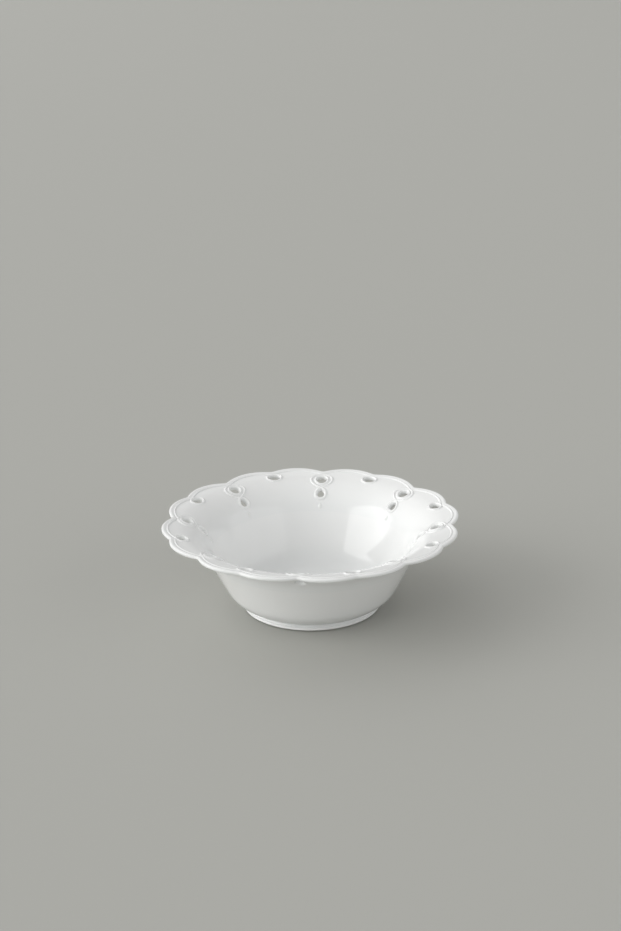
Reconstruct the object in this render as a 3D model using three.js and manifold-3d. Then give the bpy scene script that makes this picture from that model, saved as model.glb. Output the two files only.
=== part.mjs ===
// Scalloped porcelain bowl with a pierced rim, built up from the pieces that a pottery makes and joins
// with slip: the moulded body, the turned foot ring, the flared rim with its pierced openings, the rolled
// edge, and the pressed relief of ribbons, collars and drops.
// Millimetres, +Z up. The origin is on the bowl's axis, in the plane that the foot ring stands on.

import * as THREE from "three";
import { LoftGeometry } from "three/addons/geometries/LoftGeometry.js";
import { mergeVertices } from "three/addons/utils/BufferGeometryUtils.js";
import Module from "manifold-3d";

const { degToRad, euclideanModulo, lerp, smoothstep } = THREE.MathUtils;

// Driving dimensions: the scalloped outline, seen from above
const ORNAMENTS = 8; // looped ornaments round the rim, one under each deep notch
const TIP_RADIUS = 85.2; // axis to the tip of a lobe
const DEEP_NOTCH = 5.1; // tip to the notch above a looped ornament
const SHALLOW_NOTCH = 2.7; // tip to the notch above a plain eyelet

// Driving dimensions: the section of the bowl
const FOOT_HEIGHT = 3.3; // table to the underside of the floor
const WALL = 3.8; // thickness of the floor and the wall
const LIP = 2.8; // thickness of the rim at its edge
const FLOOR_RADIUS = 33; // flat floor inside
const KNEE_RADIUS = 15; // inside curve from the floor to the wall
const WALL_ANGLE = degToRad(63); // wall above the horizontal
const WALL_LENGTH = 24; // straight stretch of the wall
const SHOULDER_RADIUS = 26; // inside curve from the wall to the lip
const LIP_ANGLE = degToRad(9); // lip above the horizontal

// Driving dimensions: the foot ring
const FOOT_RADIUS = 39.3; // outside edge of the foot
const FOOT_WIDTH = 4.4; // outside edge to the inner face
const FOOT_FLARE = 1.3; // how far the foot's cove draws in above its edge
const FOOT_EDGE = 0.6; // eased corners at the bottom

// Driving dimensions: the rolled edge and the relief
const SLIP = 0.3; // slip joint between two pieces
const ROLL_WIDTH = 2.2; // rolled edge, from the outline inwards
const ROLL_HEIGHT = 3.4; // rolled edge, top to bottom
const GROOVE = 0.6; // rolled edge to the ribbon inside it
const RIBBON_WIDTH = 1.4; // every ridge of the relief
const RIBBON_HEIGHT = 0.9; // crown of a ridge above the rim's surface
const COLLAR_LEDGE = 0.1; // edge of an opening to its collar
const LOOP_HOLE = 6.2; // round opening in a looped ornament
const LOOP_GROOVE = 0.4; // collar of the round opening to the ribbon that loops round it
const EYELET_LENGTH = 6.6; // oval eyelet, along the rim
const EYELET_WIDTH = 5; // oval eyelet, across the rim
const DROP_LENGTH = 7; // drop-shaped opening, down the slope
const DROP_WIDTH = 4.2; // drop-shaped opening, across
const BEAD_LENGTH = 3; // small bead that ends the ornament
const BEAD_WIDTH = 1.7;
const BEAD_HEIGHT = 1;
const BEAD_GAP = 1.4; // collar of the drop to the bead
const JOINT_MARGIN = 2; // bead to the joint between the rim and the body
const TAPER = 0.4; // how much a drop or a bead narrows towards its upper end

// Facets
const COLUMNS_PER_LOBE = 6;
const RIM_ROWS = 6;
const KNEE_ROWS = 5;
const BODY_COLUMNS = 64;
const FOOT_ROWS = 2;
const ROLL_STEPS = 6;
const LOOP_STEPS = 16;
const COLLAR_STEPS = 12;
const HOLE_STEPS = 12;
const RIBBON_STEPS = 7;
const BEAD_STEPS = 8;
const BEAD_ROWS = 3;
const OUTLINE_NUDGE = 0.01; // small turn to either side, which gives the direction of an outline

const wasm = await Module();
wasm.setup();

// Joins and cuts
function toSolid(geometry) {
  const bare = new THREE.BufferGeometry();
  bare.setAttribute("position", geometry.getAttribute("position"));
  bare.setIndex(geometry.getIndex());
  const merged = mergeVertices(bare);
  const vertProperties = new Float32Array(merged.getAttribute("position").array);
  const triVerts = new Uint32Array(merged.getIndex().array);
  return new wasm.Manifold(new wasm.Mesh({ numProp: 3, vertProperties, triVerts }));
}

function toGeometry(solid) {
  const { vertProperties, triVerts } = solid.getMesh();
  const geometry = new THREE.BufferGeometry();
  geometry.setAttribute("position", new THREE.BufferAttribute(vertProperties, 3));
  geometry.setIndex(new THREE.BufferAttribute(triVerts, 1));
  return geometry;
}

function cut(geometry, cutters) {
  const whole = toSolid(geometry);
  const left = cutters.reduce((solid, cutter) => solid.subtract(toSolid(cutter)), whole);
  return toGeometry(left);
}

// Outline of the rim: each lobe is a parabola that falls from its tip to a deep and to a shallow notch
const LOBE = Math.PI / ORNAMENTS;
const tipPlace = 1 / (1 + Math.sqrt(SHALLOW_NOTCH / DEEP_NOTCH));

function outlineRadius(angle) {
  const fromDeepNotch = Math.abs(euclideanModulo(angle / LOBE + 1, 2) - 1);
  const fromTip = (fromDeepNotch - tipPlace) / tipPlace;
  return TIP_RADIUS - DEEP_NOTCH * fromTip ** 2;
}

// Inside profile of the bowl: floor, knee, straight wall, shoulder and lip, each tangent to the next
const floorTop = FOOT_HEIGHT + WALL;
const wallWay = new THREE.Vector2(Math.cos(WALL_ANGLE), Math.sin(WALL_ANGLE));
const wallSide = new THREE.Vector2(Math.sin(WALL_ANGLE), -Math.cos(WALL_ANGLE));
const lipWay = new THREE.Vector2(Math.cos(LIP_ANGLE), Math.sin(LIP_ANGLE));
const lipSide = new THREE.Vector2(Math.sin(LIP_ANGLE), -Math.cos(LIP_ANGLE));
const kneeCentre = new THREE.Vector2(FLOOR_RADIUS, floorTop + KNEE_RADIUS);
const wallStart = kneeCentre.clone().addScaledVector(wallSide, KNEE_RADIUS);
const shoulderStart = wallStart.clone().addScaledVector(wallWay, WALL_LENGTH);
const shoulderCentre = shoulderStart.clone().addScaledVector(wallSide, SHOULDER_RADIUS);
const lipStart = shoulderCentre.clone().addScaledVector(lipSide, -SHOULDER_RADIUS);
const kneeLength = KNEE_RADIUS * WALL_ANGLE;
const shoulderFrom = kneeLength + WALL_LENGTH;
const lipFrom = shoulderFrom + SHOULDER_RADIUS * (WALL_ANGLE - LIP_ANGLE);

// Slope, radius and height of the inside at a distance along the profile from the edge of the flat floor
function profileAt(along) {
  if (along < 0) {
    return { slope: 0, radius: FLOOR_RADIUS + along, height: floorTop };
  }
  if (along < kneeLength) {
    const slope = along / KNEE_RADIUS;
    const radius = kneeCentre.x + KNEE_RADIUS * Math.sin(slope);
    return { slope, radius, height: kneeCentre.y - KNEE_RADIUS * Math.cos(slope) };
  }
  if (along < shoulderFrom) {
    const place = wallStart.clone().addScaledVector(wallWay, along - kneeLength);
    return { slope: WALL_ANGLE, radius: place.x, height: place.y };
  }
  if (along < lipFrom) {
    const slope = WALL_ANGLE - (along - shoulderFrom) / SHOULDER_RADIUS;
    const radius = shoulderCentre.x - SHOULDER_RADIUS * Math.sin(slope);
    return { slope, radius, height: shoulderCentre.y + SHOULDER_RADIUS * Math.cos(slope) };
  }
  const place = lipStart.clone().addScaledVector(lipWay, along - lipFrom);
  return { slope: LIP_ANGLE, radius: place.x, height: place.y };
}

function alongAtRadius(radius) {
  if (radius > lipStart.x) {
    return lipFrom + (radius - lipStart.x) / lipWay.x;
  }
  if (radius > shoulderStart.x) {
    const slope = Math.asin((shoulderCentre.x - radius) / SHOULDER_RADIUS);
    return shoulderFrom + (WALL_ANGLE - slope) * SHOULDER_RADIUS;
  }
  return kneeLength + (radius - wallStart.x) / wallWay.x;
}

// Thickness of the bowl, which thins over the shoulder from the wall to the lip
function thicknessAt(along) {
  return lerp(WALL, LIP, smoothstep(along, shoulderFrom, lipFrom));
}

// Radius and height of a point that stands off the inside surface: positive lift is into the bowl
function sectionPoint(along, lift) {
  const { slope, radius, height } = profileAt(along);
  return new THREE.Vector2(radius - lift * Math.sin(slope), height + lift * Math.cos(slope));
}

function wallPoint(angle, along, lift) {
  const { x, y } = sectionPoint(along, lift);
  return new THREE.Vector3(x * Math.cos(angle), x * Math.sin(angle), y);
}

function edgeAlong(angle) {
  return alongAtRadius(outlineRadius(angle));
}

// Places of the ornament, worked inwards from the rolled edge
const rimInset = ROLL_WIDTH + SLIP;
const ribbonInset = ROLL_WIDTH + GROOVE + RIBBON_WIDTH / 2;
const reliefInset = rimInset + RIBBON_WIDTH / 2;
const collarOffset = COLLAR_LEDGE + RIBBON_WIDTH / 2;
const loopOffset = collarOffset + RIBBON_WIDTH + LOOP_GROOVE;
const loopRadius = LOOP_HOLE / 2 + loopOffset;
const loopAlong = edgeAlong(0) - reliefInset - loopRadius;
const dropAlong = loopAlong - loopRadius - collarOffset - DROP_LENGTH / 2;
const beadAlong = dropAlong - DROP_LENGTH / 2 - collarOffset - RIBBON_WIDTH / 2 - BEAD_GAP - BEAD_LENGTH / 2;
const jointAlong = beadAlong - BEAD_LENGTH / 2 - JOINT_MARGIN;
const eyeletAlong = edgeAlong(LOBE) - ribbonInset - collarOffset - EYELET_WIDTH / 2;

// A spot on the rim with its own flat coordinates: x outwards up the slope, y sideways, then the lift
function spotAt(angle, along) {
  const { radius } = profileAt(along);
  return (x, y, lift) => wallPoint(angle + y / radius, along + x, lift);
}

// Oval or drop outline about a spot, widened by an offset
function oval(halfLength, halfWidth, taper, offset) {
  return (turn) => {
    const x = (halfLength + offset) * Math.cos(turn);
    const y = (halfWidth + offset) * Math.sin(turn) * (1 - taper * Math.cos(turn));
    return new THREE.Vector2(x, y);
  };
}

const loopOutline = (offset) => oval(LOOP_HOLE / 2, LOOP_HOLE / 2, 0, offset);
const eyeletOutline = (offset) => oval(EYELET_WIDTH / 2, EYELET_LENGTH / 2, 0, offset);
const dropOutline = (offset) => oval(DROP_LENGTH / 2, DROP_WIDTH / 2, TAPER, offset);
const beadOutline = oval(BEAD_LENGTH / 2, BEAD_WIDTH / 2, TAPER, 0);

function ringPoints(spot, outline, steps, size, lift) {
  return Array.from({ length: steps }, (_, step) => {
    const { x, y } = outline((step / steps) * 2 * Math.PI);
    return spot(x * size, y * size, lift);
  });
}

// Straight plug through the wall, used to pierce the rim and to trim what ends at an ornament
function plug(spot, outline, steps) {
  const below = ringPoints(spot, outline, steps, 1, -WALL - RIBBON_HEIGHT);
  const above = ringPoints(spot, outline, steps, 1, 2 * RIBBON_HEIGHT);
  return new LoftGeometry([below, above], { capStart: true, capEnd: true });
}

// Section of a ridge, from its inner foot over the crown to its outer foot: distance across, lift
const ridgeSection = [
  [-RIBBON_WIDTH / 2, SLIP],
  [-RIBBON_WIDTH / 4, RIBBON_HEIGHT],
  [RIBBON_WIDTH / 4, RIBBON_HEIGHT],
  [RIBBON_WIDTH / 2, SLIP],
];

// Ridge that runs right round an opening
function ridgeRing(spot, outline, steps) {
  const sections = Array.from({ length: steps + 1 }, (_, step) => {
    const turn = ((step % steps) / steps) * 2 * Math.PI;
    const place = outline(turn);
    const way = outline(turn + OUTLINE_NUDGE).sub(outline(turn - OUTLINE_NUDGE)).normalize();
    return ridgeSection.map(([across, lift]) => {
      return spot(place.x + across * way.y, place.y - across * way.x, lift);
    });
  });
  return new LoftGeometry(sections);
}

// Body: floor, knee and lower wall, up to the joint under the rim
function bodyGeometry() {
  const rows = Array.from({ length: KNEE_ROWS + 1 }, (_, row) => (row / KNEE_ROWS) * kneeLength);
  rows.push(jointAlong - SLIP);
  const outside = rows.map((along) => sectionPoint(along, -thicknessAt(along)));
  const inside = rows.map((along) => sectionPoint(along, 0)).reverse();
  const undersideCentre = new THREE.Vector2(0, FOOT_HEIGHT);
  const floorCentre = new THREE.Vector2(0, floorTop);
  const profile = [undersideCentre, ...outside, ...inside, floorCentre];
  return new THREE.LatheGeometry(profile, BODY_COLUMNS).rotateX(Math.PI / 2);
}

// Foot ring: flared out to its edge, hollowed to a cove under the body, with its top fitted to the body
function footTop(radius) {
  const reach = Math.max(radius - kneeCentre.x, 0);
  return kneeCentre.y - Math.sqrt((KNEE_RADIUS + WALL + SLIP) ** 2 - reach ** 2);
}

function footGeometry() {
  const innerRadius = FOOT_RADIUS - FOOT_WIDTH;
  const topRadius = FOOT_RADIUS - FOOT_FLARE;
  const edge = new THREE.Vector2(FOOT_RADIUS, FOOT_EDGE);
  const cove = new THREE.Vector2(topRadius, FOOT_EDGE);
  const neck = new THREE.Vector2(topRadius, footTop(topRadius));
  const flare = new THREE.QuadraticBezierCurve(edge, cove, neck).getPoints(FOOT_ROWS);
  const seat = Array.from({ length: FOOT_ROWS }, (_, row) => {
    const radius = lerp(topRadius, innerRadius, (row + 1) / FOOT_ROWS);
    return new THREE.Vector2(radius, footTop(radius));
  });
  const innerEdge = new THREE.Vector2(innerRadius, FOOT_EDGE);
  const innerBottom = new THREE.Vector2(innerRadius + FOOT_EDGE, 0);
  const outerBottom = new THREE.Vector2(FOOT_RADIUS - FOOT_EDGE, 0);
  const profile = [outerBottom, ...flare, ...seat, innerEdge, innerBottom, outerBottom];
  return new THREE.LatheGeometry(profile, BODY_COLUMNS).rotateX(Math.PI / 2);
}

// Loft that goes once round the axis, one section for each column of the rim
function roundTheRim(sectionAt) {
  const columns = 2 * ORNAMENTS * COLUMNS_PER_LOBE;
  const sections = Array.from({ length: columns + 1 }, (_, column) => {
    return sectionAt(((column % columns) / columns) * 2 * Math.PI);
  });
  return new LoftGeometry(sections);
}

// Rim: the shoulder and the lip of the bowl, pierced under every notch
function rimGeometry() {
  const blank = roundTheRim((angle) => {
    const reach = edgeAlong(angle) - rimInset;
    const rows = Array.from({ length: RIM_ROWS + 1 }, (_, row) => lerp(jointAlong, reach, row / RIM_ROWS));
    const top = rows.map((along) => wallPoint(angle, along, 0));
    const under = rows.map((along) => wallPoint(angle, along, -thicknessAt(along))).reverse();
    return [...top, ...under];
  });
  const plugs = [];
  for (let copy = 0; copy < ORNAMENTS; copy += 1) {
    const deep = 2 * copy * LOBE;
    plugs.push(plug(spotAt(deep, loopAlong), loopOutline(0), HOLE_STEPS));
    plugs.push(plug(spotAt(deep, dropAlong), dropOutline(0), HOLE_STEPS));
    plugs.push(plug(spotAt(deep + LOBE, eyeletAlong), eyeletOutline(0), HOLE_STEPS));
  }
  return cut(blank, plugs);
}

// Rolled edge: a half round that stands a little proud of the rim, above and below
function rollGeometry() {
  return roundTheRim((angle) => {
    const reach = edgeAlong(angle);
    return Array.from({ length: ROLL_STEPS + 1 }, (_, step) => {
      const turn = Math.PI / 2 - (step / ROLL_STEPS) * Math.PI;
      const inset = ROLL_WIDTH * (1 - Math.cos(turn));
      return wallPoint(angle, reach - inset, (ROLL_HEIGHT / 2) * Math.sin(turn) - LIP / 2);
    });
  });
}

// Ribbon knot: the ridge that loops round the round opening and on round the drop below it
function knotGeometry() {
  const loop = ridgeRing(spotAt(0, loopAlong), loopOutline(loopOffset), LOOP_STEPS);
  const drop = ridgeRing(spotAt(0, dropAlong), dropOutline(collarOffset), COLLAR_STEPS);
  return toGeometry(toSolid(loop).add(toSolid(drop)));
}

// Collars: the ridges at the edges of the round openings and of the eyelets
function loopCollarGeometry() {
  return ridgeRing(spotAt(0, loopAlong), loopOutline(collarOffset), COLLAR_STEPS);
}

function eyeletCollarGeometry() {
  return ridgeRing(spotAt(LOBE, eyeletAlong), eyeletOutline(collarOffset), COLLAR_STEPS);
}

// Bead: a low drop-shaped dome with quarter-round sides
function beadGeometry() {
  const spot = spotAt(0, beadAlong);
  const rows = Array.from({ length: BEAD_ROWS }, (_, row) => {
    const turn = ((row / BEAD_ROWS) * Math.PI) / 2;
    const lift = lerp(SLIP, BEAD_HEIGHT, Math.sin(turn));
    return ringPoints(spot, beadOutline, BEAD_STEPS, Math.cos(turn), lift);
  });
  return new LoftGeometry(rows, { capStart: true, capEnd: true });
}

// Ribbon along one lobe, inside the rolled edge, from the loop at one end to the eyelet's collar at the other
function ribbonGeometry(lobe) {
  const margin = RIBBON_WIDTH / TIP_RADIUS;
  const sections = Array.from({ length: RIBBON_STEPS + 1 }, (_, step) => {
    const angle = lerp(lobe * LOBE + margin, (lobe + 1) * LOBE - margin, step / RIBBON_STEPS);
    const middle = edgeAlong(angle) - ribbonInset;
    return ridgeSection.map(([across, lift]) => wallPoint(angle, middle + across, lift));
  });
  const ribbon = new LoftGeometry(sections, { capStart: true, capEnd: true });
  const deep = 2 * Math.ceil(lobe / 2) * LOBE;
  const shallow = (2 * Math.floor(lobe / 2) + 1) * LOBE;
  const clear = RIBBON_WIDTH / 2 + SLIP;
  const loopPlug = plug(spotAt(deep, loopAlong), loopOutline(loopOffset + clear), LOOP_STEPS);
  const eyeletPlug = plug(spotAt(shallow, eyeletAlong), eyeletOutline(collarOffset + clear), COLLAR_STEPS);
  return cut(ribbon, [loopPlug, eyeletPlug]);
}

// Assembly
function glazedPorcelain() {
  return new THREE.MeshStandardMaterial({ color: 0xf0f1f0, roughness: 0.12, metalness: 0 });
}

function piece(name, geometry) {
  const mesh = new THREE.Mesh(geometry, glazedPorcelain());
  mesh.name = name;
  return mesh;
}

const bowl = new THREE.Group();
bowl.add(piece("bowl_body", bodyGeometry()));
bowl.add(piece("foot_ring", footGeometry()));
bowl.add(piece("pierced_rim", rimGeometry()));
bowl.add(piece("edge_roll", rollGeometry()));

const knot = knotGeometry();
const loopCollar = loopCollarGeometry();
const bead = beadGeometry();
const eyeletCollar = eyeletCollarGeometry();
const ribbonAfterKnot = ribbonGeometry(0);
const ribbonBeforeKnot = ribbonGeometry(1);

for (let copy = 0; copy < ORNAMENTS; copy += 1) {
  const ornament = new THREE.Group();
  ornament.rotation.z = 2 * copy * LOBE;
  ornament.add(piece(`ribbon_knot_${copy + 1}`, knot));
  ornament.add(piece(`loop_collar_${copy + 1}`, loopCollar));
  ornament.add(piece(`drop_bead_${copy + 1}`, bead));
  ornament.add(piece(`eyelet_collar_${copy + 1}`, eyeletCollar));
  ornament.add(piece(`lobe_ribbon_${2 * copy + 1}`, ribbonAfterKnot));
  ornament.add(piece(`lobe_ribbon_${2 * copy + 2}`, ribbonBeforeKnot));
  bowl.add(ornament);
}

export default bowl;
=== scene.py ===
import math

import bmesh
import bpy
import numpy as np
from mathutils import Matrix, Vector


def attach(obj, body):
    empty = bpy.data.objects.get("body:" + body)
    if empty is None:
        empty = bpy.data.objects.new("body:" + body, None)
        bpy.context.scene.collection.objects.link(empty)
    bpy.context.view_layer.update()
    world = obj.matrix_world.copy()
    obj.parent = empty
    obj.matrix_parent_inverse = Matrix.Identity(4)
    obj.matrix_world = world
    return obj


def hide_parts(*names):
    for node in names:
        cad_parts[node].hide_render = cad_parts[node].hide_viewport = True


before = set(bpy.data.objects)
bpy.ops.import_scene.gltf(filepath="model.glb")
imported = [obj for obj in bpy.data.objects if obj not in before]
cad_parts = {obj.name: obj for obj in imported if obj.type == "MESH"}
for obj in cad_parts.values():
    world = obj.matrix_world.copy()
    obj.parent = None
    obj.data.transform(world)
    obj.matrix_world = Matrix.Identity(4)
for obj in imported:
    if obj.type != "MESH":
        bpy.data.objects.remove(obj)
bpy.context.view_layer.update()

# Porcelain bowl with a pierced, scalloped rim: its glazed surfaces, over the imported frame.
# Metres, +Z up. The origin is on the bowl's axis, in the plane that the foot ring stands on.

MM = 0.001
TURN = 2 * math.pi

# Points nearer than a seam are one point, and edges bent more than a crease are sharp
SEAM = 0.001 * MM
CREASE = math.radians(50)

# Sizes of the scalloped outline
ORNAMENTS = 8
TIP_RADIUS = 85.2 * MM
DEEP_NOTCH = 5.1 * MM
SHALLOW_NOTCH = 2.7 * MM
LOBE = math.pi / ORNAMENTS
TIP_PLACE = 1 / (1 + math.sqrt(SHALLOW_NOTCH / DEEP_NOTCH))

# Sizes of the bowl's section
FOOT_HEIGHT = 3.3 * MM
WALL = 3.8 * MM
LIP = 2.8 * MM
FLOOR_RADIUS = 33 * MM
KNEE_RADIUS = 15 * MM
WALL_ANGLE = math.radians(63)
WALL_LENGTH = 24 * MM
SHOULDER_RADIUS = 26 * MM
LIP_ANGLE = math.radians(9)
FOOT_RADIUS = 39.7 * MM
FOOT_WIDTH = 4.8 * MM
FOOT_EDGE = 0.6 * MM
FLOOR_TOP = FOOT_HEIGHT + WALL

# Sizes of the openings, before their collars narrow them, and of the beads
LOOP_HOLE = 6.2 * MM
EYELET_LENGTH = 7.4 * MM
EYELET_WIDTH = 5.8 * MM
DROP_LENGTH = 6 * MM
DROP_WIDTH = 4.9 * MM
DROP_TAPER = 0.3
BEAD_LENGTH = 4 * MM
BEAD_WIDTH = 2.6 * MM
BEAD_HEIGHT = 0.45 * MM
BEAD_TAPER = 0.4

# Distances along the inside, from the edge of the flat floor
KNEE_LENGTH = KNEE_RADIUS * WALL_ANGLE
SHOULDER_FROM = KNEE_LENGTH + WALL_LENGTH
LIP_FROM = SHOULDER_FROM + SHOULDER_RADIUS * (WALL_ANGLE - LIP_ANGLE)

# Distances along the inside, from the rim's edge and from one place of the ornament to the next
LOOP_INSET = 8.9 * MM
LOOP_TO_DROP = 10.3 * MM
DROP_TO_BEAD = 7.9 * MM
BEAD_TO_JOINT = 3.5 * MM
EYELET_INSET = 7.05 * MM
RIBBON_INSET = 3.4 * MM


class Socket:
    """A node's output, with operators that add Math nodes after it."""

    def __init__(self, tree, socket):
        self.tree = tree
        self.socket = socket

    def out(self, name):
        """Another output of the same node."""
        return Socket(self.tree, self.socket.node.outputs[name])

    def __add__(self, other):
        return self.tree.maths("ADD", self, other)

    def __sub__(self, other):
        return self.tree.maths("SUBTRACT", self, other)

    def __rsub__(self, other):
        return self.tree.maths("SUBTRACT", other, self)

    def __mul__(self, other):
        return self.tree.maths("MULTIPLY", self, other)

    def __truediv__(self, other):
        return self.tree.maths("DIVIDE", self, other)

    def __rtruediv__(self, other):
        return self.tree.maths("DIVIDE", other, self)

    def __pow__(self, other):
        return self.tree.maths("POWER", self, other)

    __radd__ = __add__
    __rmul__ = __mul__


class Tree:
    """A node tree under construction, for a glaze, the studio or a piece's geometry."""

    def __init__(self, tree):
        self.tree = tree

    def node(self, kind, settings=None, inputs=None, output=0):
        """Add a node: its settings first, then the values or links of its sockets. Gives one output."""
        node = self.tree.nodes.new(kind)
        for name, value in (settings or {}).items():
            setattr(node, name, value)
        for key, value in (inputs or {}).items():
            if isinstance(value, Socket):
                self.tree.links.new(value.socket, node.inputs[key])
            else:
                node.inputs[key].default_value = value
        return Socket(self, node.outputs[output]) if node.outputs else None

    def maths(self, operation, *values):
        return self.node("ShaderNodeMath", {"operation": operation}, dict(enumerate(values)))

    def mix(self, share, first, second):
        """A colour between two others."""
        return self.node("ShaderNodeMix", {"data_type": "RGBA"}, {0: share, 6: first, 7: second}, 2)


class Rule(Tree):
    """A Geometry Nodes tree that bends grids by a formula, with named inputs for the piece's sizes."""

    def __init__(self, name, **sizes):
        super().__init__(bpy.data.node_groups.new(name, "GeometryNodeTree"))
        self.values = {size.replace("_", " "): value for size, value in sizes.items()}
        interface = self.tree.interface
        interface.new_socket("Mesh", in_out="OUTPUT", socket_type="NodeSocketGeometry")
        for size in self.values:
            interface.new_socket(size, in_out="INPUT", socket_type="NodeSocketFloat")
        self.given = self.tree.nodes.new("NodeGroupInput")

    def size(self, name):
        return Socket(self, self.given.outputs[name])

    def grid(self, columns, rows):
        """A flat grid, and the two coordinates of its points, each from 0 to 1."""
        counts = {"Size X": 1.0, "Size Y": 1.0, "Vertices X": columns + 1, "Vertices Y": rows + 1}
        mesh = self.node("GeometryNodeMeshGrid", {}, counts)
        place = self.node("ShaderNodeSeparateXYZ", {}, {0: self.node("GeometryNodeInputPosition")})
        return mesh, place + 0.5, place.out("Y") + 0.5

    def note(self, mesh, name, value):
        """Keep a value on the points, for the glaze to read."""
        inputs = {"Geometry": mesh, "Name": name, "Value": value}
        return self.node("GeometryNodeStoreNamedAttribute", {"data_type": "FLOAT"}, inputs)

    def bend(self, mesh, x, y, z):
        """Move a grid's points to where the formula puts them."""
        place = self.node("ShaderNodeCombineXYZ", {}, {"X": x, "Y": y, "Z": z})
        return self.node("GeometryNodeSetPosition", {}, {"Geometry": mesh, "Position": place})

    def join(self, *meshes):
        joined = self.tree.nodes.new("GeometryNodeJoinGeometry")
        for mesh in meshes:
            self.tree.links.new(mesh.socket, joined.inputs[0])
        return Socket(self, joined.outputs[0])

    def mirror(self, mesh):
        """The mesh and its mirror image across the plane of an ornament."""
        other = self.node("GeometryNodeTransform", {}, {"Geometry": mesh, "Scale": (1, -1, 1)})
        return self.join(mesh, self.node("GeometryNodeFlipFaces", {}, {"Mesh": other}))

    def round_the_axis(self, mesh, copies):
        """Copies of a mesh, evenly round the bowl's axis."""
        points = self.node("GeometryNodeMeshLine", {}, {"Count": copies, "Offset": (0, 0, 0)})
        index = self.node("GeometryNodeInputIndex")
        angles = self.node("ShaderNodeCombineXYZ", {}, {"Z": index * (TURN / copies)})
        turn = self.node("FunctionNodeEulerToRotation", {}, {0: angles})
        inputs = {"Points": points, "Instance": mesh, "Rotation": turn}
        return self.node("GeometryNodeInstanceOnPoints", {}, inputs)

    def piece(self, name, mesh, glaze):
        """Close the seams, realize the copies, and turn the result into a plain mesh object."""
        realized = self.node("GeometryNodeRealizeInstances", {}, {"Geometry": mesh})
        closed = self.node("GeometryNodeMergeByDistance", {}, {"Geometry": realized, "Distance": SEAM})
        smooth = self.node("GeometryNodeSetShadeSmooth", {}, {"Geometry": closed})
        glazed = self.node("GeometryNodeSetMaterial", {}, {"Geometry": smooth, "Material": glaze})
        self.node("NodeGroupOutput", {}, {"Mesh": glazed})
        made = bpy.data.objects.new(name, bpy.data.meshes.new(name))
        bpy.context.scene.collection.objects.link(made)
        modifier = made.modifiers.new("Rule", "NODES")
        modifier.node_group = self.tree
        for item in self.tree.interface.items_tree:
            if item.in_out == "INPUT":
                modifier[item.identifier] = self.values[item.name]
        view = bpy.context.evaluated_depsgraph_get()
        made.data = bpy.data.meshes.new_from_object(made.evaluated_get(view), depsgraph=view)
        made.modifiers.remove(modifier)
        return finished(made)


def finished(piece):
    """Faces outwards, smooth except at real corners."""
    mesh = bmesh.new()
    mesh.from_mesh(piece.data)
    bmesh.ops.remove_doubles(mesh, verts=mesh.verts, dist=SEAM)
    bmesh.ops.recalc_face_normals(mesh, faces=mesh.faces)
    mesh.to_mesh(piece.data)
    mesh.free()
    piece.data.shade_smooth()
    piece.data.set_sharp_from_angle(angle=CREASE)
    return piece


# Maths on numbers, arrays and sockets alike
def apply(operation, plain, *values):
    for value in values:
        if isinstance(value, Socket):
            return value.tree.maths(operation, *values)
    return plain(*values)


def sine(turn):
    return apply("SINE", np.sin, turn)


def cosine(turn):
    return apply("COSINE", np.cos, turn)


def over(value, edge):
    return apply("GREATER_THAN", np.greater, value, edge)


def limit(value, low, high):
    return apply("MINIMUM", np.minimum, apply("MAXIMUM", np.maximum, value, low), high)


def between(low, high, share):
    return low + (high - low) * share


def ease(share):
    """Smooth step from 0 to 1."""
    held = limit(share, 0, 1)
    return held * held * (3 - 2 * held)


# The bowl's form
def profile(along):
    """Slope, radius and height of the inside, at a distance along it from the edge of the flat floor."""
    floor = limit(along, -FLOOR_RADIUS, 0)
    knee = limit(along / KNEE_RADIUS, 0, WALL_ANGLE)
    wall = limit(along - KNEE_LENGTH, 0, WALL_LENGTH)
    shoulder = limit((along - SHOULDER_FROM) / SHOULDER_RADIUS, 0, WALL_ANGLE - LIP_ANGLE)
    lip = limit(along - LIP_FROM, 0, TIP_RADIUS)
    over_shoulder = WALL_ANGLE - shoulder
    radius = FLOOR_RADIUS + floor + KNEE_RADIUS * sine(knee) + wall * math.cos(WALL_ANGLE)
    radius = radius + SHOULDER_RADIUS * (math.sin(WALL_ANGLE) - sine(over_shoulder))
    radius = radius + lip * math.cos(LIP_ANGLE)
    height = FLOOR_TOP + KNEE_RADIUS * (1 - cosine(knee)) + wall * math.sin(WALL_ANGLE)
    height = height + SHOULDER_RADIUS * (cosine(over_shoulder) - math.cos(WALL_ANGLE))
    height = height + lip * math.sin(LIP_ANGLE)
    return knee - shoulder, radius, height


def thickness(along):
    """The bowl thins over the shoulder, from the wall to the lip."""
    return between(WALL, LIP, ease((along - SHOULDER_FROM) / (LIP_FROM - SHOULDER_FROM)))


def wall_point(angle, along, lift):
    """A point that stands off the inside surface: positive lift is into the bowl."""
    slope, radius, height = profile(along)
    reach = radius - lift * sine(slope)
    return reach * cosine(angle), reach * sine(angle), height + lift * cosine(slope)


def edge_along(place):
    """Where a lobe's outline lies along the inside: 0 at its deep notch and 1 at the other."""
    from_tip = (place - TIP_PLACE) / TIP_PLACE
    radius = TIP_RADIUS - DEEP_NOTCH * from_tip * from_tip
    return LIP_FROM + (radius - LIP_START) / math.cos(LIP_ANGLE)


def lobe_place(angle, softness):
    """Place on a lobe at an angle round the axis, with the notches eased by a softness."""
    part = apply("FLOORED_MODULO", np.mod, angle / LOBE + 1, 2) - 1
    place = apply("ABSOLUTE", np.abs, part)
    rest = 1 - place
    at_deep = (place * place + softness**2) ** 0.5 - place
    at_shallow = (rest * rest + softness**2) ** 0.5 - rest
    return place + at_deep * rest * rest - at_shallow * place * place


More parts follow.
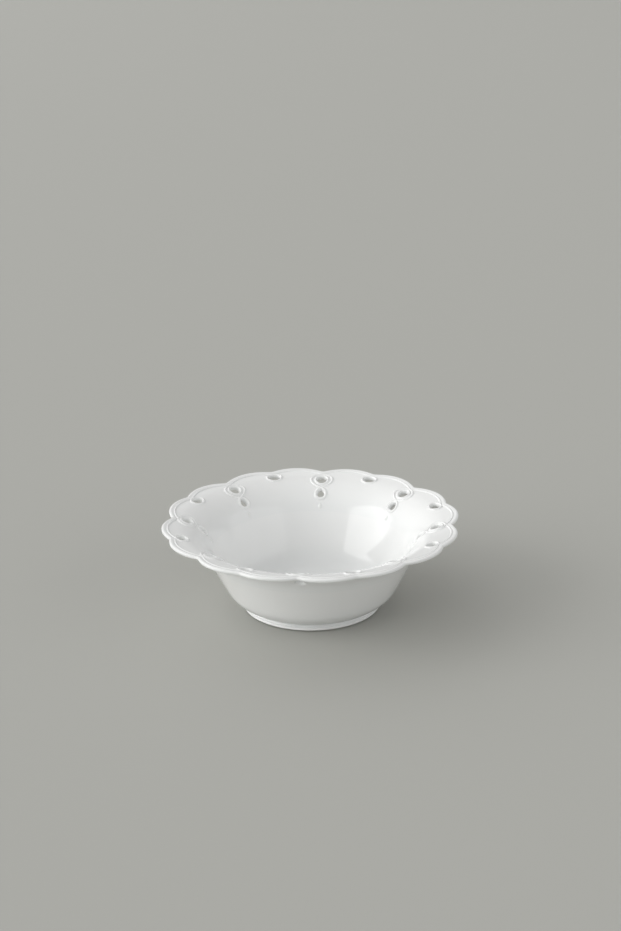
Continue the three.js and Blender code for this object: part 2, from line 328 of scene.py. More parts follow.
# Places of the ornaments and of the joint, and how the rim thins towards its edge
LIP_START = float(profile(LIP_FROM)[1])
LOOP_ALONG = edge_along(0) - LOOP_INSET
DROP_ALONG = LOOP_ALONG - LOOP_TO_DROP
BEAD_ALONG = DROP_ALONG - DROP_TO_BEAD
JOINT_ALONG = BEAD_ALONG - BEAD_TO_JOINT
EYELET_ALONG = edge_along(1) - EYELET_INSET
NOTCH_SOFTNESS = 0.03
NOTCH_SHARE = 0.25
EDGE_DEPTH = 2 * MM
NOTCH_DEPTH = 1.6 * MM
THINNING_REACH = 7 * MM


def edge_depth(place):
    """Thickness of the rolled edge, which is least where the ribbons cross at a deep notch."""
    return between(NOTCH_DEPTH, EDGE_DEPTH, ease(place / NOTCH_SHARE))


def rim_depth(angle, along):
    """Thickness of the rim, which thins towards its edge."""
    place = lobe_place(angle, NOTCH_SOFTNESS)
    nearness = ease(1 - (edge_along(place) - along) / THINNING_REACH)
    return between(thickness(along), edge_depth(place), nearness)


def on_spot(angle, along, x, y, lift):
    """A point over a spot of the rim: x outwards up the slope, y sideways."""
    return wall_point(angle + y / float(profile(along)[1]), along + x, lift)


def oval(turn, half_length, half_width, taper, offset=0.0):
    """Outline of an opening, drop-shaped where it tapers."""
    x = (half_length + offset) * cosine(turn)
    y = (half_width + offset) * sine(turn) * (1 - taper * cosine(turn))
    return x, y


def loop_outline(turn, offset=0.0):
    return oval(turn, LOOP_HOLE / 2, LOOP_HOLE / 2, 0, offset)


def drop_outline(turn, offset=0.0):
    return oval(turn, DROP_LENGTH / 2, DROP_WIDTH / 2, DROP_TAPER, offset)


def eyelet_outline(turn, offset=0.0):
    return oval(turn, EYELET_WIDTH / 2, EYELET_LENGTH / 2, 0, offset)


# Small turn on either side of a point, which shows the way that a path runs there
NUDGE = 0.01


def beside(path, turn, across):
    """A point at a distance to the right of a flat path."""
    back_x, back_y = path(turn - NUDGE)
    on_x, on_y = path(turn + NUDGE)
    step_x = on_x - back_x
    step_y = on_y - back_y
    length = (step_x * step_x + step_y * step_y) ** 0.5
    x, y = path(turn)
    return x + across * step_y / length, y - across * step_x / length


# Sections of the relief: distance across, and lift off the rim
RELIEF_DEPTH = 1.2 * MM


def swell(turn, height):
    """Lift of a ridge or bead, which eases into the rim round its foot and goes into the rim below."""
    rise = sine(turn)
    return rise * between(RELIEF_DEPTH, height * rise * rise, over(rise, 0))


def collar_across(turn, crest, spread, throat):
    """Distance of a collar's section from the outline of its opening, which it narrows to a throat."""
    side = cosine(turn)
    top = over(sine(turn), 0)
    inner = between(COLLAR_UNDER, crest, top) + throat
    outer = between(crest + spread - COLLAR_UNDER, spread, top)
    return between(COLLAR_UNDER, crest, top) + side * between(inner, outer, over(side, 0))


def collar_lift(turn, height, throat_depth, depth):
    """Lift of a collar's section: raised inside the bowl, round through the opening, flush outside."""
    rise = sine(turn)
    cube = rise * rise * rise
    top = over(rise, 0)
    inner = rise * between(depth - throat_depth, height + throat_depth, top) - throat_depth
    return between(inner, cube * between(depth, height, top), over(cosine(turn), 0))


# Glazes
GLAZE = (0.88, 0.885, 0.88, 1)
# Darker, bluish glaze where it pools, also used as painted shade in the grooves and the cove
POOLED_GLAZE_AND_SHADE = (0.80, 0.825, 0.83, 1)
BISQUE = (0.72, 0.69, 0.63, 1)
GLAZE_INDEX = 1.5
GLAZE_ROUGHNESS = 0.07
BISQUE_ROUGHNESS = 0.62
CLOUD_SCALE = 22.0
CLOUD_SHARE = 0.25
CLOUD_ROUGHNESS = 0.05
PEEL_SCALE = 420.0
PEEL_STRENGTH = 0.04
PEEL_DEPTH = 0.1 * MM


def porcelain(name, pooled_and_shade_share, bare_share=None):
    """White porcelain glaze. The first share says where the glaze has run together, which in the grooves
    of the relief and in the foot's cove is also painted shade; the second says where there is none.
    """
    material = bpy.data.materials.new(name)
    material.use_nodes = True
    material.node_tree.nodes.clear()
    tree = Tree(material.node_tree)
    place = tree.node("ShaderNodeTexCoord", output="Object")
    cloud = tree.node("ShaderNodeTexNoise", {}, {"Vector": place, "Scale": CLOUD_SCALE, "Detail": 3.0})
    peel = tree.node("ShaderNodeTexNoise", {}, {"Vector": place, "Scale": PEEL_SCALE, "Detail": 1.0})
    # The pooled colour is pooled glaze, and in the grooves and the cove it is also painted shade
    pooled_and_shade = pooled_and_shade_share(tree, place)
    colour = tree.mix(limit(pooled_and_shade + (cloud - 0.5) * CLOUD_SHARE, 0, 1), GLAZE, POOLED_GLAZE_AND_SHADE)
    roughness = GLAZE_ROUGHNESS + cloud * CLOUD_ROUGHNESS
    if bare_share:
        bare = bare_share(tree, place)
        colour = tree.mix(bare, colour, BISQUE)
        roughness = between(roughness, BISQUE_ROUGHNESS, bare)
    relief = {"Strength": PEEL_STRENGTH, "Distance": PEEL_DEPTH, "Height": peel}
    bump = tree.node("ShaderNodeBump", {}, relief)
    inputs = {"Base Color": colour, "Roughness": roughness, "IOR": GLAZE_INDEX, "Normal": bump}
    shader = tree.node("ShaderNodeBsdfPrincipled", {}, inputs)
    tree.node("ShaderNodeOutputMaterial", {}, {"Surface": shader})
    return material


# How much the glaze runs together, with painted shade in the grooves and the cove, and the heights that
# these fade over
WELL_POOL = 0.35
WELL_POOL_REACH = 12 * MM
GROOVE_POOL_AND_SHADE = 0.2
GROOVE_SHARPNESS = 1.4
RIM_POOL = 0.2
RIM_POOL_FROM = 38 * MM
RIM_POOL_REACH = 12 * MM
COVE_POOL_AND_SHADE = 0.4
COVE_POOL_AND_SHADE_FROM = 1.5 * MM
COVE_POOL_AND_SHADE_REACH = 1.5 * MM
BARE_HEIGHT = 0.2 * MM
GRAIN_SCALE = 900.0
GRAIN_LEVEL = 1.25


def height_of(tree, place):
    return tree.node("ShaderNodeSeparateXYZ", {}, {0: place}, "Z")


def pooled_in_well(tree, place):
    """Glaze runs down the wall and gathers on the floor."""
    return WELL_POOL * (1 - ease((height_of(tree, place) - FLOOR_TOP) / WELL_POOL_REACH))


def pooled_and_shaded_in_grooves(tree, place):
    """Glaze gathers at the feet of the relief and is thin on its crests: the darker colour at the feet is
    pooled glaze and painted shade.
    """
    crown = tree.node("ShaderNodeAttribute", {"attribute_name": "crown"}, output="Fac")
    # Painted shade: darker where the relief meets the rim, lighter on its crests
    return GROOVE_POOL_AND_SHADE * (1 - ease(crown * GROOVE_SHARPNESS))


def pooled_on_rim(tree, place):
    """Glaze is thinner towards the lip."""
    return RIM_POOL * (1 - ease((height_of(tree, place) - RIM_POOL_FROM) / RIM_POOL_REACH))


def pooled_and_shaded_in_cove(tree, place):
    """Glaze gathers in the cove above the foot's edge: the darker colour there is pooled glaze and painted
    shade under the knee.
    """
    # Painted shade: darker from the top of the foot's edge up into the cove
    return COVE_POOL_AND_SHADE * ease((height_of(tree, place) - COVE_POOL_AND_SHADE_FROM) / COVE_POOL_AND_SHADE_REACH)


def bare_under_foot(tree, place):
    """The standing edge of the foot is wiped bare before firing."""
    grain = tree.node("ShaderNodeTexNoise", {}, {"Vector": place, "Scale": GRAIN_SCALE, "Detail": 2.0})
    return 1 - ease((height_of(tree, place) + (grain - GRAIN_LEVEL) * BARE_HEIGHT) / BARE_HEIGHT)


# Body: the floor, the knee and the lower wall
BODY_COLUMNS = 288
BODY_ROWS = 64


def bowl_body(glaze):
    """One skin, from the floor's centre up the inside, over the joint and back down the outside."""
    rule = Rule("bowl_body_rule", Floor_radius=FLOOR_RADIUS, Joint=JOINT_ALONG)
    rows = 2 * BODY_ROWS + 1
    mesh, around, section = rule.grid(BODY_COLUMNS, rows)
    from_joint = apply("ABSOLUTE", np.abs, 2 * section - 1)
    share = limit((1 - from_joint) / (1 - 1 / rows), 0, 1)
    along = between(-1 * rule.size("Floor radius"), rule.size("Joint"), share)
    outside = over(section, 0.5)
    bent = rule.bend(mesh, *wall_point(around * TURN, along, -1 * outside * thickness(along)))
    return rule.piece("bowl_body_glazed", bent, glaze)


# Rolled edge, which follows the scalloped outline
ROLL_OUT = 1.3 * MM
ROLL_IN = 2.8 * MM
ROLL_TOP = 0.35 * MM
ROLL_EQUATOR = 0.6 * MM
ROLL_COLUMNS = 2 * ORNAMENTS * 48
ROLL_ROWS = 32


def edge_roll(glaze):
    """Rounded above, and bevelled under its outer side."""
    sizes = {"Outer_half": ROLL_OUT, "Inner_half": ROLL_IN, "Top": ROLL_TOP, "Equator": ROLL_EQUATOR}
    rule = Rule("edge_roll_rule", **sizes)
    mesh, around, section = rule.grid(ROLL_COLUMNS, ROLL_ROWS)
    angle = around * TURN
    rise = sine(section * TURN)
    side = cosine(section * TURN)
    cube = rise * rise * rise
    top = over(rise, 0)
    outer = over(side, 0)
    mesh = rule.note(mesh, "crown", rise)
    place = lobe_place(angle, NOTCH_SOFTNESS)
    depth = edge_depth(place)
    equator = rule.size("Equator")
    along = edge_along(place) - rule.size("Outer half")
    along = along + side * between(rule.size("Inner half"), rule.size("Outer half"), outer)
    rounded = rise * between(depth - equator, rule.size("Top") + equator, top) - equator
    lift = between(cube * between(depth, rule.size("Top"), top), rounded, outer)
    bent = rule.bend(mesh, *wall_point(angle, along, lift))
    return rule.piece("edge_roll_glazed", bent, glaze)


# Collars that line the openings
COLLAR_STEPS = 64
COLLAR_ROWS = 28
COLLAR_CREST = 0.65 * MM
COLLAR_SPREAD = 1.0 * MM
COLLAR_HEIGHT = 0.6 * MM
COLLAR_UNDER = 0.9 * MM
THROAT_DEPTH = 1.3 * MM
LOOP_THROAT = 0.3 * MM
EYELET_THROAT = 0.2 * MM
DROP_THROAT = 0.7 * MM


def collar_ring(rule, angle, along, outline):
    """A collar that lines one opening of the rim."""
    mesh, around, section = rule.grid(COLLAR_STEPS, COLLAR_ROWS)
    turn = section * TURN
    across = collar_across(turn, rule.size("Crest"), rule.size("Spread"), rule.size("Throat"))
    x, y = beside(outline, around * TURN, across)
    depth = rim_depth(angle + y / float(profile(along)[1]), along + x)
    lift = collar_lift(turn, rule.size("Height"), THROAT_DEPTH, depth)
    mesh = rule.note(mesh, "crown", lift / rule.size("Height"))
    return rule.bend(mesh, *on_spot(angle, along, x, y, lift))


def collar_sizes(throat):
    return {"Crest": COLLAR_CREST, "Spread": COLLAR_SPREAD, "Height": COLLAR_HEIGHT, "Throat": throat}


def collars(name, angle, along, outline, throat, glaze):
    """The same collar at each of the eight openings of a kind."""
    rule = Rule(name + "_rule", **collar_sizes(throat))
    ring = collar_ring(rule, angle, along, outline)
    return rule.piece(name, rule.round_the_axis(ring, ORNAMENTS), glaze)


# Ribbons: two strands cross at a deep notch, loop round the opening, and cross again over the drop
RIDGE_HALF = 0.9 * MM
RIDGE_HEIGHT = 0.55 * MM
RIDGE_ROWS = 28
RIDGE_SINK = 0.01 * MM
LOOP_HALF_LENGTH = 5.5 * MM
LOOP_HALF_WIDTH = 6.4 * MM
LOOP_POINT = 0.45
LOOP_DROOP = 0.9 * MM
DROP_HALF = 3.2 * MM
DROP_FALL = 2.4 * MM
STRAND_STEPS = 96
STRAND_LEAD = 0.3
STRAND_TAIL = math.pi / 2 * DROP_HALF / LOOP_HALF_WIDTH
STRAND_LEAN = (LOOP_HALF_LENGTH * LOOP_POINT + LOOP_DROOP) * 2 / math.pi
STRAND_FADE = 0.125


def strand_path(turn):
    """Round the opening while turn is below pi, then down the far side of the drop."""
    on_loop = limit(turn, -STRAND_LEAD, math.pi)
    past = limit(turn - math.pi, 0, math.pi)
    straight = 1 - on_loop * (2 / math.pi)
    way_round = on_loop / math.pi
    fall = past / STRAND_TAIL
    x = LOOP_HALF_LENGTH * between(cosine(on_loop), straight, LOOP_POINT)
    x = x - LOOP_DROOP * way_round * way_round
    x = x - STRAND_LEAN * past - DROP_FALL * fall * fall
    y = LOOP_HALF_WIDTH * sine(on_loop) - DROP_HALF * sine(past * (LOOP_HALF_WIDTH / DROP_HALF))
    return x, y


def ribbon_knots(glaze):
    """The two strands of each ornament, and the collar of its drop."""
    sizes = {"Ridge_half": RIDGE_HALF, "Ridge_height": RIDGE_HEIGHT, **collar_sizes(DROP_THROAT)}
    rule = Rule("ribbon_knot_rule", **sizes)
    mesh, along, section = rule.grid(STRAND_STEPS, RIDGE_ROWS)
    turn = between(-STRAND_LEAD, math.pi + STRAND_TAIL, along)
    fade = ease((turn + STRAND_LEAD) / STRAND_LEAD) * ease((1 - along) / STRAND_FADE)
    height = rule.size("Ridge height")
    across = rule.size("Ridge half") * cosine(section * TURN)
    lift = swell(section * TURN, height)
    mesh = rule.note(mesh, "crown", lift / height)
    x, y = beside(strand_path, turn, across * fade)
    strand = rule.bend(mesh, *on_spot(0, LOOP_ALONG, x, y, lift * fade - RIDGE_SINK))
    drop_collar = collar_ring(rule, 0, DROP_ALONG, drop_outline)
    knot = rule.join(rule.mirror(strand), drop_collar)
    return rule.piece("ribbon_knots", rule.round_the_axis(knot, ORNAMENTS), glaze)


# Lobe ribbons, whose ends lie a little past the notches
RIBBON_STEPS = 72
RIBBON_FROM = -0.05
RIBBON_TO = 1.04
RIBBON_FADE = 0.05


def lobe_ribbons(glaze):
    """Fine ridges along the lobes, inside the rolled edge."""
    rule = Rule("lobe_ribbon_rule", Ridge_half=RIDGE_HALF, Ridge_height=RIDGE_HEIGHT, Inset=RIBBON_INSET)
    mesh, along, section = rule.grid(RIBBON_STEPS, RIDGE_ROWS)
    place = between(RIBBON_FROM, RIBBON_TO, along)
    fade = ease(along / RIBBON_FADE) * ease((1 - along) / RIBBON_FADE)
    height = rule.size("Ridge height")
    across = rule.size("Ridge half") * cosine(section * TURN)
    lift = swell(section * TURN, height)
    mesh = rule.note(mesh, "crown", lift / height)
    middle = edge_along(place) - rule.size("Inset") + across * fade
    ribbon = rule.bend(mesh, *wall_point(place * LOBE, middle, lift * fade - RIDGE_SINK))
    return rule.piece("lobe_ribbons", rule.round_the_axis(rule.mirror(ribbon), ORNAMENTS), glaze)


# Beads under the drops
BEAD_STEPS = 32


def drop_beads(glaze):
    """Small soft drops that end the ornaments."""
    sizes = {"Half_length": BEAD_LENGTH / 2, "Half_width": BEAD_WIDTH / 2, "Height": BEAD_HEIGHT}
    rule = Rule("drop_bead_rule", **sizes)
    mesh, around, section = rule.grid(BEAD_STEPS, BEAD_STEPS)
    tilt = (section - 0.5) * math.pi
    lift = swell(tilt, rule.size("Height"))
    mesh = rule.note(mesh, "crown", lift / rule.size("Height"))
    x, y = oval(around * TURN, rule.size("Half length"), rule.size("Half width"), BEAD_TAPER)
    belly = cosine(tilt)
    bent = rule.bend(mesh, *on_spot(0, BEAD_ALONG, x * belly, y * belly, lift))
    return rule.piece("drop_beads", rule.round_the_axis(bent, ORNAMENTS), glaze)


# Pierced rim: quads that follow the rim and run round and through its openings
CELL_MARGIN = 1.8 * MM
RIM_TUCK = 1.2 * MM
EDGE_EASE = 0.3 * MM
UNDER_EASE = 1.2 * MM
CELL_COLUMNS = 7
MIDDLE_COLUMNS = 22
RING_STEPS = 6
EASE_STEPS = 3

# Rows of quads up the rim: an ornament's stretches add up to the same count as an eyelet's
UNDER_DROP = 7
BY_DROP = 12
BY_LOOP = 12
OVER_LOOP = 3
UNDER_EYELET = 22
BY_EYELET = 10
OVER_EYELET = 2


class Quilt:
    """Patches of quads on one half of a lobe, repeated on every half and sewn where their edges meet."""

    def __init__(self):
        self.points = []
        self.faces = []
        self.count = 0

    def add(self, angle, along, lift):
        """A patch: arrays of angle from the deep notch, place along the inside, and lift."""
        angle, along, lift = np.broadcast_arrays(angle, along, lift)
        index = np.arange(angle.size).reshape(angle.shape)
        corners = [index[:-1, :-1], index[:-1, 1:], index[1:, 1:], index[1:, :-1]]
        quads = np.stack(corners, axis=-1).reshape(-1, 4)
        for half in range(2 * ORNAMENTS):
            side = 1 - 2 * (half % 2)
            turned = 2 * LOBE * (half // 2) + side * angle
            self.points.append(np.stack(wall_point(turned, along, lift), axis=-1).reshape(-1, 3))
            self.faces.append(quads + self.count)
            self.count += angle.size

    def add_both_sides(self, angle, along):
        """A patch of the inside, and the one under it."""
        self.add(angle, along, 0.0)
        self.add(angle, along, -rim_depth(angle, along))

    def add_opening(self, angle, along, spot_along, spot_angle, outline):
        """Rings from a cell's edge to its opening, through the rim, and out to the cell's edge below."""
        radius = float(profile(spot_along)[1])
        x = along - spot_along
        y = (angle - spot_angle) * radius
        length = np.where(x > 0, x.max(), -x.min())
        turn = np.arctan2(y / np.abs(y).max(), x / length)
        rings = []
        for share in np.linspace(0, 1, RING_STEPS + 1):
            rings.append((share, EDGE_EASE, 0, 0))
        for tilt in np.linspace(0, math.pi / 2, EASE_STEPS + 1)[1:]:
            rings.append((1, EDGE_EASE * (1 - math.sin(tilt)), 0, -EDGE_EASE * (1 - math.cos(tilt))))
        for depth in np.linspace(0, 1, EASE_STEPS + 1)[1:-1]:
            rings.append((1, 0, depth, between(-EDGE_EASE, UNDER_EASE, depth)))
        for tilt in np.linspace(0, math.pi / 2, EASE_STEPS + 1):
            rings.append((1, UNDER_EASE * (1 - math.cos(tilt)), 1, UNDER_EASE * (1 - math.sin(tilt))))
        for share in np.linspace(1, 0, RING_STEPS + 1)[1:]:
            rings.append((share, UNDER_EASE, 1, 0))
        rows = []
        for share, offset, depth, lift in rings:
            hole_x, hole_y = outline(turn, offset)
            ring_along = spot_along + between(x, hole_x, share)
            ring_angle = spot_angle + between(y, hole_y, share) / radius
            rows.append((ring_angle, ring_along, lift - depth * rim_depth(ring_angle, ring_along)))
        self.add(*np.array(rows).transpose(1, 0, 2))

    def piece(self, name, glaze):
        mesh = bpy.data.meshes.new(name)
        mesh.from_pydata(np.concatenate(self.points), [], np.concatenate(self.faces).tolist())
        mesh.materials.append(glaze)
        made = bpy.data.objects.new(name, mesh)
        bpy.context.scene.collection.objects.link(made)
        return finished(made)


def stretches(stops, counts):
    """Places from stop to stop, with a count of steps in each stretch."""
    parts = [np.linspace(a, b, n + 1)[:-1] for a, b, n in zip(stops, stops[1:], counts)]
    return np.concatenate([*parts, stops[-1:]])


def rim_end(angle):
    """The rim's outer end, which is hidden inside the rolled edge."""
    return edge_along(lobe_place(angle, NOTCH_SOFTNESS)) - RIM_TUCK


def cell_edge(centre, side, low, high, rows):
    """Half of a cell's edge, from the middle of its lower side round to the middle of its upper side."""
    across = np.linspace(centre, side, CELL_COLUMNS + 1)
    angle = np.concatenate([across, np.full(rows - 1, side), across[::-1]])
    up = np.linspace(low, high, rows + 1)
    along = np.concatenate([np.full(CELL_COLUMNS + 1, low), up[1:-1], np.full(CELL_COLUMNS + 1, high)])
    return angle, along


def pierced_rim(glaze):
    """The shoulder and the lip, patch by patch from a deep notch to a shallow one."""
    quilt = Quilt()
    deep_side = (LOOP_HOLE / 2 + CELL_MARGIN) / float(profile(LOOP_ALONG)[1])
    plain_side = LOBE - (EYELET_LENGTH / 2 + CELL_MARGIN) / float(profile(EYELET_ALONG)[1])
    drop_low = DROP_ALONG - DROP_LENGTH / 2 - CELL_MARGIN
    loop_low = (LOOP_ALONG - LOOP_HOLE / 2 + DROP_ALONG + DROP_LENGTH / 2) / 2
    loop_high = LOOP_ALONG + LOOP_HOLE / 2 + CELL_MARGIN
    eyelet_low = EYELET_ALONG - EYELET_WIDTH / 2 - CELL_MARGIN
    eyelet_high = EYELET_ALONG + EYELET_WIDTH / 2 + CELL_MARGIN

    deep_angles = np.linspace(0, deep_side, CELL_COLUMNS + 1)
    plain_angles = np.linspace(plain_side, LOBE, CELL_COLUMNS + 1)
    middle_angles = np.linspace(deep_side, plain_side, MIDDLE_COLUMNS + 1)
    column = np.linspace(0, 1, OVER_LOOP + 1)[:, None]
    quilt.add_both_sides(deep_angles, np.linspace(JOINT_ALONG, drop_low, UNDER_DROP + 1)[:, None])
    quilt.add_both_sides(deep_angles, between(loop_high, rim_end(deep_angles), column))
    column = np.linspace(0, 1, OVER_EYELET + 1)[:, None]
    quilt.add_both_sides(plain_angles, np.linspace(JOINT_ALONG, eyelet_low, UNDER_EYELET + 1)[:, None])
    quilt.add_both_sides(plain_angles, between(eyelet_high, rim_end(plain_angles), column))

    deep_stops = [JOINT_ALONG, drop_low, loop_low, loop_high, rim_end(deep_side)]
    plain_stops = [JOINT_ALONG, eyelet_low, eyelet_high, rim_end(plain_side)]
    deep_rows = stretches(deep_stops, [UNDER_DROP, BY_DROP, BY_LOOP, OVER_LOOP])
    plain_rows = stretches(plain_stops, [UNDER_EYELET, BY_EYELET, OVER_EYELET])
    deep_shares = (deep_rows - JOINT_ALONG) / (rim_end(deep_side) - JOINT_ALONG)
    plain_shares = (plain_rows - JOINT_ALONG) / (rim_end(plain_side) - JOINT_ALONG)
    way = ease((middle_angles - deep_side) / (plain_side - deep_side))
    shares = between(deep_shares[:, None], plain_shares[:, None], way)
    quilt.add_both_sides(middle_angles, between(JOINT_ALONG, rim_end(middle_angles), shares))

    loop_edge = cell_edge(0, deep_side, loop_low, loop_high, BY_LOOP)
    drop_edge = cell_edge(0, deep_side, drop_low, loop_low, BY_DROP)
    eyelet_edge = cell_edge(LOBE, plain_side, eyelet_low, eyelet_high, BY_EYELET)
    quilt.add_opening(*loop_edge, LOOP_ALONG, 0, loop_outline)
    quilt.add_opening(*drop_edge, DROP_ALONG, 0, drop_outline)
    quilt.add_opening(*eyelet_edge, EYELET_ALONG, LOBE, eyelet_outline)

    angles = np.concatenate([deep_angles, middle_angles[1:], plain_angles[1:]])
    depth = np.array([[0.0], [-1.0]])
    for end in (np.full(angles.shape, JOINT_ALONG), rim_end(angles)):
        quilt.add(angles, end, depth * rim_depth(angles, end))
    return quilt.piece("pierced_rim_glazed", glaze)


# Foot ring, turned on the axis: a flared edge under a cove that runs up into the knee
FOOT_COLUMNS = 256
STANDING_INSET = 2.8 * MM
UNDERCUT = 0.8 * MM
EDGE_UNDER_INSET = 0.5 * MM
EDGE_WIDEST = 0.7 * MM
EDGE_TOP = 1.5 * MM
EDGE_TOP_INSET = 0.6 * MM
COVE_TOP_SLOPE = math.radians(22)
COVE_SINK = 0.02 * MM
KNEE_TUCK = 1.2 * MM
KNEE_TUCK_SLOPE = 0.05
INNER_TUCK = 0.6 * MM

# How far the foot's curves hold their direction at each end, as radius and height
UNDERCUT_PULLS = ((0, 0.8 * MM), (-1.9 * MM, 0))
LOWER_EDGE_PULLS = ((0.35 * MM, 0), (0, -0.4 * MM))
UPPER_EDGE_PULLS = ((0, 0.45 * MM), (0.35 * MM, -0.05 * MM))
COVE_PULL = (-0.9 * MM, 0.15 * MM)
COVE_TOP_PULL = 2.2 * MM
INNER_COVE_PULLS = ((2.1 * MM, -0.02 * MM), (0, 2.3 * MM))
INNER_CORNER_PULLS = ((0, -0.4 * MM), (-0.4 * MM, 0))


def curve(start, pulls, end, steps):
    """Points on a smooth curve between two others, with a pull at each end."""
    start = np.array(start)
    end = np.array(end)
    share = np.linspace(0, 1, steps + 1)[:, None]
    rest = 1 - share
    near_start = rest**3 * start + 3 * rest**2 * share * (start + pulls[0])
    near_end = share**3 * end + 3 * rest * share**2 * (end + pulls[1])
    return near_start + near_end


def knee_outside(slope, depth):
    """A point on the outside of the knee, or a depth inside it."""
    reach = KNEE_RADIUS + WALL - depth
    centre_height = FLOOR_TOP + KNEE_RADIUS
    return np.array([FLOOR_RADIUS + reach * math.sin(slope), centre_height - reach * math.cos(slope)])


def foot_section():
    """The foot's section as radius and height, from its standing face round by the outside."""
    inner = FOOT_RADIUS - FOOT_WIDTH
    inner_edge = (inner, FOOT_EDGE)
    inner_stand = (inner + FOOT_EDGE, 0)
    outer_stand = (FOOT_RADIUS - STANDING_INSET, 0)
    under_edge = (FOOT_RADIUS - EDGE_UNDER_INSET, UNDERCUT)
    edge = (FOOT_RADIUS, UNDERCUT + EDGE_WIDEST)
    flare = (FOOT_RADIUS - EDGE_TOP_INSET, UNDERCUT + EDGE_TOP)
    cove_top = knee_outside(COVE_TOP_SLOPE, COVE_SINK)
    down_knee = -COVE_TOP_PULL * np.array([math.cos(COVE_TOP_SLOPE), math.sin(COVE_TOP_SLOPE)])
    inner_top = (FLOOR_RADIUS - INNER_TUCK, FOOT_HEIGHT + COVE_SINK)
    parts = [
        np.linspace(inner_stand, outer_stand, 5)[:-1],
        curve(outer_stand, UNDERCUT_PULLS, under_edge, 8)[:-1],
        curve(under_edge, LOWER_EDGE_PULLS, edge, 6)[:-1],
        curve(edge, UPPER_EDGE_PULLS, flare, 6)[:-1],
        curve(flare, (COVE_PULL, down_knee), cove_top, 18),
        [knee_outside(COVE_TOP_SLOPE, KNEE_TUCK), knee_outside(KNEE_TUCK_SLOPE, KNEE_TUCK)],
        curve(inner_top, INNER_COVE_PULLS, inner_edge, 10)[:-1],
        curve(inner_edge, INNER_CORNER_PULLS, inner_stand, 5)[:-1],
    ]
    return np.concatenate(parts)


def foot_ring(glaze):
    section = foot_section()
    angles = np.linspace(0, TURN, FOOT_COLUMNS, endpoint=False)[:, None]
    x = section[:, 0] * np.cos(angles)
    y = section[:, 0] * np.sin(angles)
    z = np.broadcast_to(section[:, 1], x.shape)
    index = np.arange(x.size).reshape(x.shape)
    beyond = np.roll(index, -1, axis=0)
    corners = [index, beyond, np.roll(beyond, -1, axis=1), np.roll(index, -1, axis=1)]
    mesh = bpy.data.meshes.new("foot_ring_glazed")
    points = np.stack([x, y, z], axis=-1).reshape(-1, 3)
    mesh.from_pydata(points, [], np.stack(corners, axis=-1).reshape(-1, 4).tolist())
    mesh.materials.append(glaze)
    made = bpy.data.objects.new("foot_ring_glazed", mesh)
    bpy.context.scene.collection.objects.link(made)
    return finished(made)


# Stage: pale floor, soft light from the left, and the photograph's camera
FLOOR_COLOUR = (0.455, 0.455, 0.427, 1)
FLOOR_ROUGHNESS = 0.85
FLOOR_REACH = 8.0
STUDIO_COLOUR = (1.0, 1.0, 0.99, 1)
DIM_SIDE = 0.27
BRIGHT_SIDE = 0.82
WINDOW_LIGHT = 2.4
WINDOW_WAY = (-0.915, -0.34, 0.217)
WINDOW_EDGE = 0.86
WINDOW_MIDDLE = 0.89
KEY_PLACE = (-3.25, 2.30, 2.80)
KEY_SIZE = (9.75, 4.88)
KEY_POWER = 47.5
CARD_PLACE = (4.80, -1.30, 2.05)
CARD_SIZE = (8.6, 3.4)
CARD_POWER = 59.6
LAMP_TARGET = (0, 0, 0.05)
FRAME_HEIGHT = 931
FOCAL_PIXELS = 1828.0
SENSOR = 36.0
EYE = (0.0936, -0.9622, 0.4440)
EYE_HEADING = math.radians(5.55)
EYE_PITCH = math.radians(20.38)
EYE_ROLL = math.radians(-0.70)


def floor():
    reach = FLOOR_REACH
    corners = [(-reach, -reach, 0), (reach, -reach, 0), (reach, reach, 0), (-reach, reach, 0)]
    mesh = bpy.data.meshes.new("floor")
    mesh.from_pydata(corners, [], [(0, 1, 2, 3)])
    material = bpy.data.materials.new("floor_paint")
    material.use_nodes = True
    shader = material.node_tree.nodes["Principled BSDF"]
    shader.inputs["Base Color"].default_value = FLOOR_COLOUR
    shader.inputs["Roughness"].default_value = FLOOR_ROUGHNESS
    mesh.materials.append(material)
    made = bpy.data.objects.new("floor", mesh)
    bpy.context.scene.collection.objects.link(made)


def softbox(name, place, size, power):
    """An oval area lamp that faces the bowl."""
    light = bpy.data.lights.new(name, "AREA")
    light.shape = "ELLIPSE"
    light.size = size[0]
    light.size_y = size[1]
    light.energy = power
    made = bpy.data.objects.new(name, light)
    made.location = place
    away = Vector(place) - Vector(LAMP_TARGET)
    made.rotation_euler = away.to_track_quat("Z", "Y").to_euler()
    bpy.context.scene.collection.objects.link(made)


def lights():
    """A studio with a window on its brighter left side, a key light there, and a card on the right."""
    world = bpy.data.worlds.new("studio")
    world.use_nodes = True
    world.node_tree.nodes.clear()
    tree = Tree(world.node_tree)
    ways = {0: tree.node("ShaderNodeTexCoord", output="Generated"), 1: WINDOW_WAY}
    facing = tree.node("ShaderNodeVectorMath", {"operation": "DOT_PRODUCT"}, ways, "Value")
    window = ease((facing - WINDOW_EDGE) / (WINDOW_MIDDLE - WINDOW_EDGE))
    strength = between(DIM_SIDE, BRIGHT_SIDE, 0.5 + 0.5 * facing) + WINDOW_LIGHT * window
    background = tree.node("ShaderNodeBackground", {}, {"Color": STUDIO_COLOUR, "Strength": strength})
    tree.node("ShaderNodeOutputWorld", {}, {"Surface": background})
    bpy.context.scene.world = world
    softbox("key_softbox", KEY_PLACE, KEY_SIZE, KEY_POWER)
    softbox("right_card", CARD_PLACE, CARD_SIZE, CARD_POWER)


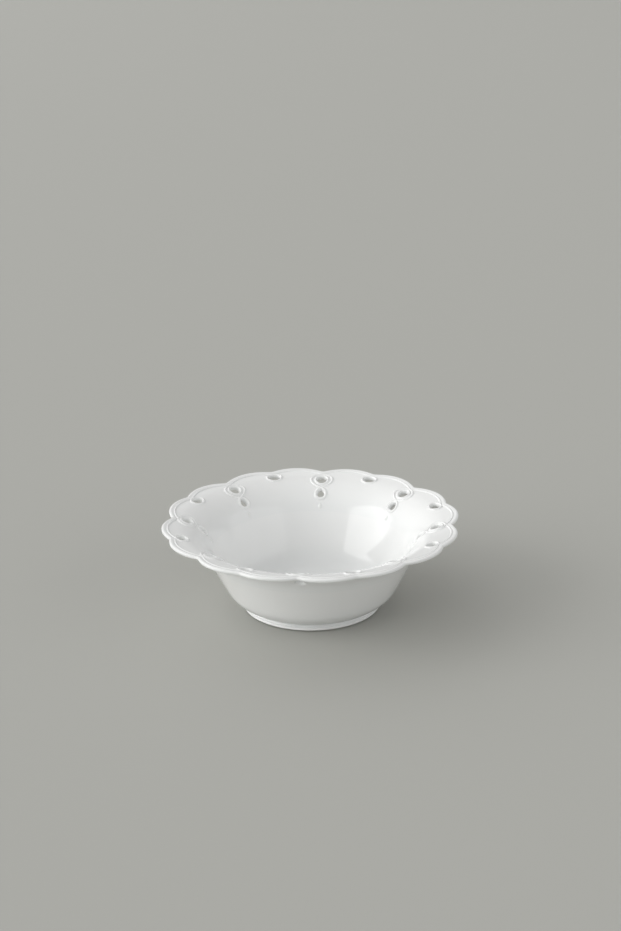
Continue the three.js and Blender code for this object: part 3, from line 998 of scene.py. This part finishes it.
def camera():
    data = bpy.data.cameras.new("camera")
    data.sensor_width = SENSOR
    data.lens = FOCAL_PIXELS / FRAME_HEIGHT * SENSOR
    made = bpy.data.objects.new("camera", data)
    heading = Matrix.Rotation(EYE_HEADING, 4, "Z")
    pitch = Matrix.Rotation(math.pi / 2 - EYE_PITCH, 4, "X")
    roll = Matrix.Rotation(EYE_ROLL, 4, "Z")
    made.matrix_world = Matrix.Translation(EYE) @ heading @ pitch @ roll
    bpy.context.scene.collection.objects.link(made)
    bpy.context.scene.camera = made


def copies(node, count):
    return [f"{node}_{number + 1}" for number in range(count)]


def place(piece, slot, *nodes):
    """The piece stands for its nodes of the construction, and moves with them."""
    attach(piece, "root")
    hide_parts(*nodes)


# The glazed bowl, each piece in place of its nodes, on its stage
body_glaze = porcelain("body_glaze", pooled_in_well)
rim_glaze = porcelain("rim_glaze", pooled_on_rim)
# The relief's glaze has painted shade at the feet of the relief
relief_glaze = porcelain("relief_glaze", pooled_and_shaded_in_grooves)
# The foot's glaze has painted shade in its cove
foot_glaze = porcelain("foot_glaze", pooled_and_shaded_in_cove, bare_under_foot)

camera()
place(bowl_body(body_glaze), "body_glaze", "bowl_body")
place(foot_ring(foot_glaze), "foot_glaze", "foot_ring")
place(pierced_rim(rim_glaze), "rim_glaze", "pierced_rim")
place(edge_roll(relief_glaze), "rim_glaze", "edge_roll")
place(ribbon_knots(relief_glaze), "relief_glaze", *copies("ribbon_knot", ORNAMENTS))
loop_collars = collars("loop_collars", 0, LOOP_ALONG, loop_outline, LOOP_THROAT, relief_glaze)
place(loop_collars, "relief_glaze", *copies("loop_collar", ORNAMENTS))
eyelet_collars = collars("eyelet_collars", LOBE, EYELET_ALONG, eyelet_outline, EYELET_THROAT, relief_glaze)
place(eyelet_collars, "relief_glaze", *copies("eyelet_collar", ORNAMENTS))
place(drop_beads(relief_glaze), "relief_glaze", *copies("drop_bead", ORNAMENTS))
place(lobe_ribbons(relief_glaze), "relief_glaze", *copies("lobe_ribbon", 2 * ORNAMENTS))
floor()
lights()
bpy.context.scene.view_settings.view_transform = "Standard"
